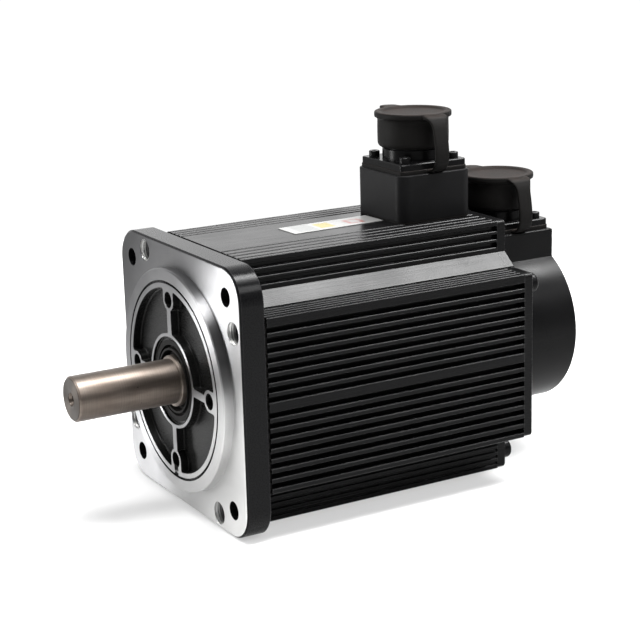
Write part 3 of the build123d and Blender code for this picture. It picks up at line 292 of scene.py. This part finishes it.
def rubber(name, dust=(0.0095, 0.0060, 0.0046)):
    """Matt moulded rubber, dusty where it faces up."""
    finish = Finish(name)
    grain = finish.noise(finish.place, 3.0, 6.0, 0.65)
    cloud = finish.noise(finish.place, 0.16, 5.0, 0.6)
    colour = finish.mix(grain, (0.0025, 0.0024, 0.0023), (0.0065, 0.006, 0.0056))
    facing = finish.above(finish.up(), 0.75, 0.2)
    dusty = finish.math("MULTIPLY", facing, finish.span(cloud, 0.3, 0.7, 0.1, 1.0))
    colour = finish.mix(dusty, colour, dust)
    rubbed = finish.edges(0.5, 0.35)
    colour = finish.mix(finish.math("MULTIPLY", rubbed, 0.22), colour, (0.026, 0.023, 0.021))
    finish.set(Base_Color=colour, Roughness=finish.span(grain, 0.3, 0.7, 0.50, 0.72),
               Specular_IOR_Level=0.055)
    finish.bump(finish.math("ADD", grain, cloud), 0.04, 0.6)
    return finish.material


def turned_steel(name, light, dark, warm=None, rough=0.26, painted_shade_end=None):
    """Ground steel with fine marks round the motor's axis, and stains and pits where it's warm. An
    end face can be painted darker as painted shade.
    """
    finish = Finish(name)
    y = finish.axes()[1]
    fine = finish.along(y, 2.5)
    smear = finish.noise(finish.stretched(0.16, 0.03, 0.16), 1.0, 3.0)
    scratch = finish.noise(finish.stretched(0.5, 6.0, 0.5), 1.0, 3.0)
    colour = finish.mix(finish.span(fine, 0.3, 0.7), dark, light)
    if warm is not None:
        band = finish.along(y, 0.08, 2.0)
        tint = finish.span(finish.math("ADD", band, smear), 0.75, 1.25, 0.0, 0.6)
        colour = finish.mix(tint, colour, warm)
        stain = finish.span(smear, 0.42, 0.60, 0.0, 0.45)
        colour = finish.mix(stain, colour, tuple(0.45 * level for level in dark))
        pits = finish.above(finish.noise(finish.place, 0.45, 0.0), 0.85, 0.015)
        colour = finish.mix(pits, colour, (0.01, 0.009, 0.008))
    # The end face is painted darker, as painted shade.
    if painted_shade_end is not None:
        end_painted_shade = tuple(0.32 * level for level in dark)
        colour = finish.mix(finish.below(y, painted_shade_end, 0.1), colour, end_painted_shade)
    shine = finish.span(finish.math("ADD", smear, scratch), 0.7, 1.3, rough - 0.02, rough + 0.05)
    tangent = finish.node("ShaderNodeTangent", {}, direction_type="RADIAL", axis="Y")
    finish.set(Base_Color=colour, Roughness=shine, Metallic=1.0, Anisotropic=0.6,
               Anisotropic_Rotation=0.25, Tangent=tangent.outputs[0])
    finish.bump(finish.math("ADD", fine, scratch), 0.0015, 0.5, finish.rounded(0.15))
    return finish.material


def plain_metal(name, low, high, rough=0.32):
    """Metal with a fine uneven finish and brighter edges."""
    finish = Finish(name)
    grain = finish.noise(finish.place, 2.4, 4.0)
    cloud = finish.noise(finish.place, 0.16)
    worn_and_highlit = finish.edges(0.25, 0.3)
    colour = finish.mix(finish.math("MULTIPLY", finish.math("ADD", grain, cloud), 0.5), low, high)
    bright = tuple(min(1.0, 1.5 * level) for level in high)
    # Edges lightened: wear and painted highlight.
    colour = finish.mix(finish.math("MULTIPLY", worn_and_highlit, 0.4), colour, bright)
    shine = finish.span(finish.math("ADD", grain, cloud), 0.6, 1.4, rough - 0.07, rough + 0.12)
    finish.set(Base_Color=colour, Roughness=shine, Metallic=1.0)
    finish.bump(grain, 0.01, 0.5, finish.rounded(0.15))
    return finish.material


def moulded(name, low, high, rough=0.45):
    """Moulded plastic, or another even material with a fine grain."""
    finish = Finish(name)
    grain = finish.noise(finish.place, 2.4, 5.0)
    cloud = finish.noise(finish.place, 0.18)
    colour = finish.mix(finish.math("MULTIPLY", finish.math("ADD", grain, cloud), 0.5), low, high)
    shine = finish.span(grain, 0.3, 0.7, rough - 0.06, rough + 0.08)
    finish.set(Base_Color=colour, Roughness=shine)
    finish.bump(grain, 0.02, 0.4, finish.rounded(0.15))
    return finish.material


def laminated(name, low, high):
    """Stack of thin steel sheets across the motor's axis."""
    finish = Finish(name)
    y = finish.axes()[1]
    sheet = finish.math("FRACT", finish.math("MULTIPLY", y, 2.0))
    line = finish.above(finish.math("ABSOLUTE", finish.math("SUBTRACT", sheet, 0.5)), 0.38, 0.06)
    grain = finish.noise(finish.stretched(0.6, 2.0, 0.6), 1.0, 4.0)
    colour = finish.mix(grain, low, high)
    seam = tuple(0.3 * level for level in low)
    colour = finish.mix(finish.math("MULTIPLY", line, 0.6), colour, seam)
    finish.set(Base_Color=colour, Roughness=finish.span(grain, 0.3, 0.7, 0.35, 0.5), Metallic=0.9)
    finish.bump(finish.math("SUBTRACT", grain, line), 0.03, 0.5)
    return finish.material


def wound_copper():
    """Enamelled wire laid in turns, with painted shade in the grooves between turns."""
    finish = Finish("enamelled_copper")
    x, _, z = finish.axes()
    radius = finish.length(x, z)
    turn = finish.math("SINE", finish.math("MULTIPLY", radius, 2 * math.pi / 0.9))
    cloud = finish.noise(finish.place, 0.25, 4.0)
    colour = finish.mix(cloud, (0.36, 0.10, 0.03), (0.66, 0.27, 0.09))
    # Painted shade: the grooves between turns are painted near black.
    colour = finish.mix(finish.below(turn, -0.6, 0.3), colour, (0.10, 0.03, 0.01))
    finish.set(Base_Color=colour, Metallic=0.7, Roughness=finish.span(cloud, 0.3, 0.7, 0.22, 0.36),
               Coat_Weight=0.4)
    finish.bump(turn, 0.15, 0.8)
    return finish.material


def circuit_board():
    """Green solder mask with copper tracks under it."""
    finish = Finish("circuit_board")
    x, _, z = finish.axes()
    slots = finish.math("FRACT", finish.math("MULTIPLY", finish.math("ADD", x, z), 0.45))
    track = finish.above(slots, 0.72, 0.03)
    gate = finish.above(finish.noise(finish.place, 0.18, 1.0), 0.5, 0.02)
    cloud = finish.noise(finish.place, 0.5, 3.0)
    colour = finish.mix(cloud, (0.008, 0.085, 0.030), (0.015, 0.13, 0.05))
    colour = finish.mix(finish.math("MULTIPLY", track, gate), colour, (0.03, 0.22, 0.08))
    finish.set(Base_Color=colour, Roughness=finish.span(cloud, 0.3, 0.7, 0.22, 0.36))
    finish.bump(finish.math("MULTIPLY", track, gate), 0.04, 0.5)
    return finish.material


def etched_glass():
    """Clear encoder disc, faintly clouded."""
    finish = Finish("encoder_glass")
    cloud = finish.noise(finish.place, 0.6, 2.0)
    finish.set(Base_Color=finish.mix(cloud, (0.72, 0.78, 0.80), (0.85, 0.90, 0.92)),
               Roughness=finish.span(cloud, 0.3, 0.7, 0.03, 0.10), Transmission_Weight=0.7,
               IOR=1.5)
    finish.bump(cloud, 0.004, 0.3)
    return finish.material


def printed_label(low, high):
    """White foil with plain colour fields: no letters and no signs."""
    finish = Finish("printed_label")
    x, y, _ = finish.axes()
    across = finish.span(x, low.x / MM, high.x / MM)
    along = finish.span(y, low.y / MM, high.y / MM)
    fibre = finish.noise(finish.place, 1.5, 3.0)
    colour = finish.mix(fibre, (0.160, 0.160, 0.156), (0.190, 0.190, 0.186))

    def field(left, right, near, far, paint, base):
        inside = finish.math("MULTIPLY", finish.above(across, left, 0.01),
                             finish.below(across, right, 0.01))
        inside = finish.math("MULTIPLY", inside, finish.above(along, near, 0.004))
        inside = finish.math("MULTIPLY", inside, finish.below(along, far, 0.004))
        return finish.mix(inside, base, paint)

    colour = field(0.10, 0.90, 0.08, 0.30, (0.115, 0.117, 0.115), colour)
    colour = field(0.20, 0.78, 0.34, 0.50, (0.170, 0.140, 0.032), colour)
    colour = field(0.24, 0.74, 0.66, 0.84, (0.135, 0.036, 0.030), colour)
    colour = field(0.32, 0.66, 0.70, 0.80, (0.160, 0.150, 0.146), colour)
    finish.set(Base_Color=colour, Roughness=finish.span(fibre, 0.3, 0.7, 0.30, 0.42))
    finish.bump(fibre, 0.01, 0.3)
    return finish.material


def pale_floor():
    """Glowing pale floor, darker in a patch ahead of the shaft that the flange reflects."""
    finish = Finish("pale_floor")
    cloud = finish.noise(finish.place, 0.004)
    x, y, _ = finish.axes()
    leftward = finish.vector("DOT_PRODUCT", finish.place, (-0.495, -0.869, 0.0))
    radius = finish.length(x, finish.math("SUBTRACT", y, FLOOR_MIDDLE / MM))
    lit = finish.math("MAXIMUM", finish.span(leftward, 180.0, 380.0, 1.0, 0.2),
                      finish.span(radius, 470.0, 610.0))
    colour = finish.mix(cloud, (0.36, 0.36, 0.36), (0.38, 0.38, 0.38))
    finish.set(Base_Color=finish.mix(lit, (0.08, 0.08, 0.08), colour),
               Roughness=finish.span(cloud, 0.3, 0.7, 0.75, 0.9), Specular_IOR_Level=0.1,
               Emission_Color=(1.0, 1.0, 1.0),
               Emission_Strength=finish.math("MULTIPLY", lit, FLOOR_GLOW))
    return finish.material


# ---------------------------------------------------------------- rubber caps and straps
def mesh_piece(name, points, faces, material):
    """New mesh object from points in millimetres of the frame."""
    data = bpy.data.meshes.new(name)
    data.from_pydata([[MM * value for value in point] for point in points], [], faces)
    data.validate()
    shape = bmesh.new()
    shape.from_mesh(data)
    bmesh.ops.remove_doubles(shape, verts=shape.verts, dist=1e-7)
    bmesh.ops.recalc_face_normals(shape, faces=shape.faces)
    for face in shape.faces:
        face.smooth = True
    shape.to_mesh(data)
    shape.free()
    piece = bpy.data.objects.new(name, data)
    bpy.context.scene.collection.objects.link(piece)
    piece.data.materials.append(material)
    return piece


def grid_faces(rows, columns, close_rows=False):
    """Quads of a grid whose columns run round a closed loop."""
    faces = []
    for row in range(rows if close_rows else rows - 1):
        below, above = row * columns, ((row + 1) % rows) * columns
        for column in range(columns):
            after = (column + 1) % columns
            faces.append((below + column, below + after, above + after, above + column))
    return faces


def smooth_larger(first, second, softness):
    """The larger of two numbers, with a soft change from one to the other."""
    share = min(1.0, max(0.0, 0.5 + 0.5 * (first - second) / softness))
    return second + (first - second) * share + softness * share * (1.0 - share)


def tongue_reach(turn, half_width, reach):
    """Distance to the edge of a round-ended tongue, at an angle from its middle line."""
    turn = abs(turn)
    end_centre = reach - half_width
    if turn < math.asin(half_width / end_centre) and end_centre * math.cos(turn) > 0:
        return end_centre * math.cos(turn) + math.sqrt(
            half_width ** 2 - (end_centre * math.sin(turn)) ** 2)
    if turn < math.pi / 2:
        return min(reach, half_width / math.sin(turn))
    return 0.0


BRIM_RADIUS = 19.5
CAP_HALF_TAB = 4.5
CAP_TAB_REACH = 27.5
STRAP_HALF_WIDTH = 6.4
STRAP_ROOT_REACH = 20.7
# half of the cap's section as radius and height above the socket's seat, from inside to outside
CAP_SECTION = [
    (0.0, 23.6), (15.4, 23.6), (15.4, 12.0), (15.5, 11.5), (15.9, 11.2), (16.6, 11.3),
    (17.3, 11.8), (17.8, 12.6), (18.0, 13.6), (18.05, 18.0), (18.0, 22.5), (17.95, 24.6),
    (18.1, 25.5), (18.5, 25.95), (19.0, 26.1), (19.4, 26.35), (19.5, 26.8), (19.5, 28.2),
    (19.35, 28.7), (19.0, 28.95), (18.4, 29.0), (17.4, 28.98), (16.6, 28.9), (16.0, 28.6),
    (15.6, 28.25), (15.0, 28.05), (12.0, 27.95), (7.0, 27.85), (0.0, 27.8),
]


def brim_edge(turn):
    """Outline of the brim: round, with the pull tab on one side and the strap's root opposite."""
    edge = smooth_larger(BRIM_RADIUS, tongue_reach(math.pi - abs(turn), CAP_HALF_TAB,
                                                   CAP_TAB_REACH), 3.0)
    return smooth_larger(edge, tongue_reach(turn, STRAP_HALF_WIDTH, STRAP_ROOT_REACH), 1.0)


def make_cap(name, node, body, seat, station):
    """Push-on rubber dust cap with a raised lip and a dished top."""
    columns = 240
    turns = [math.remainder(2 * math.pi * column / columns, 2 * math.pi)
             for column in range(columns)]
    edges = [brim_edge(turn) - BRIM_RADIUS for turn in turns]
    points = []
    for radius, height in CAP_SECTION:
        share = min(1.0, max(0.0, (radius - 18.2) / 1.0)) if height > 25.7 else 0.0
        for turn, extra in zip(turns, edges):
            reach = radius + share * max(extra, 0.0)
            points.append((reach * math.cos(turn), station + reach * math.sin(turn), seat + height))
    cap = mesh_piece(name, points, grid_faces(len(CAP_SECTION), columns), FINISHES["black_rubber"])
    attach(cap, body)
    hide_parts(node)


# middle line of the strap as distance from the cap's axis and height above the seat
STRAP_ROUTE = [
    (17.8, 27.6), (20.1, 27.5), (21.9, 26.75), (23.1, 25.1), (24.0, 22.9), (24.6, 20.6),
    (25.35, 17.2), (25.9, 14.0), (26.2, 11.2), (26.2, 8.5), (25.9, 6.0), (25.1, 3.9),
    (24.0, 2.4), (22.6, 1.5), (20.9, 1.05), (18.9, 1.0),
]


def strap_width(share):
    """Flared into the brim at the top, and a little wider again at its foot."""
    flare = 1.0 / (1.0 + math.exp((share - 0.17) / 0.035))
    foot = max(0.0, (share - 0.80) / 0.20) ** 2
    return 8.0 + 5.0 * flare + 1.8 * foot


def route_point(place):
    """Point and direction on the smooth curve through the strap's route."""
    last = len(STRAP_ROUTE) - 1
    start = min(int(place), last - 1)
    share = place - start
    before, first, second, after = (
        Vector(STRAP_ROUTE[min(max(start + shift, 0), last)]) for shift in (-1, 0, 1, 2))
    where = 0.5 * ((2 * first) + (second - before) * share
                   + (2 * before - 5 * first + 4 * second - after) * share ** 2
                   + (3 * first - before - 3 * second + after) * share ** 3)
    heading = 0.5 * ((second - before) + 2 * (2 * before - 5 * first + 4 * second - after) * share
                     + 3 * (3 * first - before - 3 * second + after) * share ** 2)
    return where, heading.normalized()


def make_strap(name, node, seat, station):
    """Flat rubber strap with rounded edges, from the brim down to the base plate."""
    steps = 6
    count = (len(STRAP_ROUTE) - 1) * steps
    round_count = 28
    points = []
    for index in range(count + 1):
        where, heading = route_point(index / steps)
        share = index / count
        half_width = strap_width(share) / 2
        half_thickness = 0.8 + 0.5 * max(0.0, 1.0 - share / 0.18)
        normal = Vector((-heading.y, heading.x))
        for corner in range(round_count):
            turn = 2 * math.pi * corner / round_count
            side = math.copysign(abs(math.cos(turn)) ** 0.35, math.cos(turn)) * half_width
            depth = math.copysign(abs(math.sin(turn)) ** 0.55, math.sin(turn)) * half_thickness
            spot = where + normal * depth
            points.append((spot.x, station + side, seat + spot.y))
    faces = grid_faces(count + 1, round_count)
    faces.append(tuple(range(round_count)))
    faces.append(tuple(range(count * round_count, (count + 1) * round_count)))
    strap = mesh_piece(name, points, faces, FINISHES["black_rubber"])
    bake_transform(strap)
    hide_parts(node)


# ---------------------------------------------------------------- finish of every CAD node
FINISHES = {
    "machined_aluminium": machined_and_painted(),
    "black_painted_aluminium": black_coat("black_coat", wear_and_highlight=0.5),
    "dark_grey_paint": textured_grey(),
    "shaft_steel": turned_steel("shaft_steel", (0.185, 0.158, 0.137), (0.130, 0.111, 0.096),
                                (0.150, 0.116, 0.096), rough=0.50,
                                painted_shade_end=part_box("shaft")[0].y / MM + 0.2),
    "bearing_steel": turned_steel("bearing_steel", (0.66, 0.66, 0.67), (0.50, 0.50, 0.52),
                                  rough=0.16),
    "screw_steel": black_coat("black_oxide", rough=0.26, streaks=False, gloss=0.055),
    "spring_steel": plain_metal("spring_steel", (0.22, 0.22, 0.23), (0.42, 0.42, 0.43)),
    "black_rubber": rubber("black_rubber"),
    "seal_rubber": rubber("seal_rubber", dust=(0.03, 0.028, 0.027)),
    "lamination_steel": laminated("lamination_steel", (0.20, 0.20, 0.22), (0.38, 0.38, 0.40)),
    "enamelled_copper": wound_copper(),
    "insulator_plastic": moulded("insulator_plastic", (0.62, 0.59, 0.50), (0.78, 0.75, 0.66)),
    "magnet": plain_metal("magnet", (0.20, 0.20, 0.21), (0.34, 0.34, 0.36)),
    "sleeve_steel": turned_steel("sleeve_steel", (0.58, 0.58, 0.60), (0.44, 0.44, 0.46)),
    "black_plated_shell": black_coat("black_plate", rough=0.22, streaks=False, gloss=0.050),
    "connector_plastic": moulded("connector_plastic", (0.012, 0.012, 0.012), (0.03, 0.03, 0.03)),
    "contact_brass": plain_metal("contact_brass", (0.62, 0.42, 0.15), (0.85, 0.63, 0.28), 0.2),
    "cage_plastic": moulded("cage_plastic", (0.42, 0.31, 0.17), (0.58, 0.46, 0.28)),
    "circuit_board": circuit_board(),
    "chip_plastic": moulded("chip_plastic", (0.010, 0.010, 0.011), (0.025, 0.025, 0.026), 0.4),
    "encoder_glass": etched_glass(),
    "wire_insulation": moulded("wire_insulation", (0.20, 0.012, 0.010), (0.34, 0.03, 0.02), 0.35),
    "label_foil": printed_label(*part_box("rating_label")),
}


def dress(piece, material):
    piece.data.materials.clear()
    piece.data.materials.append(material)


for part in frame["record"]["subparts"]:
    dress(NODES[part["node"]], FINISHES[part["material_slot"]])
dress(NODES["encoder_cover"], black_coat("cover_coat", rough=0.30, streaks=False, gloss=0.060))

# height of each socket's seat, and how far along the motor it stands
POWER_SEAT, POWER_STATION = 89.0, 135.0
ENCODER_SEAT, ENCODER_STATION = 51.8, 186.3
make_cap("power_cap_rubber", "power_cap", "power_dust_cap", POWER_SEAT, POWER_STATION)
make_cap("encoder_cap_rubber", "encoder_cap", "encoder_dust_cap", ENCODER_SEAT, ENCODER_STATION)
make_strap("power_strap_rubber", "power_cap_strap", POWER_SEAT, POWER_STATION)
make_strap("encoder_strap_rubber", "encoder_cap_strap", ENCODER_SEAT,
           ENCODER_STATION)


# ---------------------------------------------------------------- floor, light and camera
SKY_LEVEL = 0.22
BACKDROP_LEVEL = 2.0
GROUND_LEVEL = 1.05
BACKDROP_WAY = (-0.84, 0.48, 0.26)


def area_light(name, place, target, width, height, power):
    """Plain white softbox, in metres and watts."""
    data = bpy.data.lights.new(name, "AREA")
    data.shape = "RECTANGLE"
    data.size = width
    data.size_y = height
    data.energy = power
    light = bpy.data.objects.new(name, data)
    light.location = place
    aim = Vector(target) - Vector(place)
    light.rotation_euler = aim.to_track_quat("-Z", "Y").to_euler()
    bpy.context.scene.collection.objects.link(light)


def make_floor():
    """Round pale floor; past its rim the lower half of the world is the same white."""
    data = bpy.data.meshes.new("floor")
    sides = 96
    rim = [(FLOOR_RADIUS * math.cos(2 * math.pi * side / sides),
            FLOOR_MIDDLE + FLOOR_RADIUS * math.sin(2 * math.pi * side / sides), cad_low.z)
           for side in range(sides)]
    data.from_pydata(rim, [], [tuple(range(sides))])
    floor = bpy.data.objects.new("floor", data)
    bpy.context.scene.collection.objects.link(floor)
    dress(floor, pale_floor())


def make_world():
    """White below the horizon, soft grey above it, and brighter low down behind the motor."""
    world = bpy.data.worlds.new("studio")
    world.use_nodes = True
    tree = world.node_tree
    coordinates = tree.nodes.new("ShaderNodeTexCoord").outputs["Generated"]
    facing = tree.nodes.new("ShaderNodeVectorMath")
    facing.operation = "DOT_PRODUCT"
    facing.inputs[1].default_value = BACKDROP_WAY
    tree.links.new(coordinates, facing.inputs[0])
    glow = tree.nodes.new("ShaderNodeMapRange")
    for index, value in enumerate((0.55, 0.97, SKY_LEVEL, BACKDROP_LEVEL), start=1):
        glow.inputs[index].default_value = value
    tree.links.new(facing.outputs["Value"], glow.inputs[0])
    height = tree.nodes.new("ShaderNodeSeparateXYZ")
    tree.links.new(coordinates, height.inputs[0])
    ground = tree.nodes.new("ShaderNodeMapRange")
    for index, value in enumerate((-0.03, 0.01, 1.0, 0.0), start=1):
        ground.inputs[index].default_value = value
    tree.links.new(height.outputs[2], ground.inputs[0])
    level = tree.nodes.new("ShaderNodeMix")
    tree.links.new(ground.outputs[0], level.inputs[0])
    tree.links.new(glow.outputs[0], level.inputs[2])
    level.inputs[3].default_value = GROUND_LEVEL
    tree.links.new(level.outputs[0], tree.nodes["Background"].inputs["Strength"])
    tree.nodes["Background"].inputs["Color"].default_value = (1.0, 1.0, 1.0, 1.0)
    bpy.context.scene.world = world


AZIMUTH = math.radians(60.32)
ELEVATION = math.radians(14.94)
ROLL = math.radians(-1.547)
FOCUS_STATION = 0.090
DISTANCE = 0.86724
SIDE_OFFSET = 0.010827
RISE_OFFSET = -0.014973
LENS = 95.92


def make_camera():
    """Camera a little above the motor, ahead of the flange and to its right."""
    forward = Vector((-math.sin(AZIMUTH) * math.cos(ELEVATION),
                      math.cos(AZIMUTH) * math.cos(ELEVATION), -math.sin(ELEVATION)))
    level = Vector((math.cos(AZIMUTH), math.sin(AZIMUTH), 0.0))
    upright = level.cross(forward)
    right = level * math.cos(ROLL) + upright * math.sin(ROLL)
    up = upright * math.cos(ROLL) - level * math.sin(ROLL)
    place = (Vector((0.0, FOCUS_STATION, 0.0)) - forward * DISTANCE
             - right * SIDE_OFFSET - up * RISE_OFFSET)
    data = bpy.data.cameras.new("camera")
    data.lens = LENS
    data.sensor_width = 36.0
    data.clip_start = 0.01
    camera = bpy.data.objects.new("camera", data)
    turn = Matrix((right, up, -forward)).transposed().to_4x4()
    camera.matrix_world = Matrix.Translation(place) @ turn
    bpy.context.scene.collection.objects.link(camera)
    bpy.context.scene.camera = camera


make_floor()
make_world()
make_camera()
area_light("top_softbox", (0.145, 0.665, 1.1), (0.0, FOCUS_STATION, 0.0), 0.30, 0.75, 46.0)
area_light("front_left_softbox", (-0.66, -1.02, 0.10), (0.0, 0.0, 0.0), 0.30, 0.45, 19.0)
area_light("overhead_softbox", (0.16, -0.12, 1.15), (0.0, -0.02, 0.0), 0.8, 0.3, 24.0)
area_light("right_fill", (0.83, 0.58, 0.77), (0.06, 0.0, 0.05), 0.35, 0.35, 9.0)
bpy.context.scene.view_settings.view_transform = "Standard"
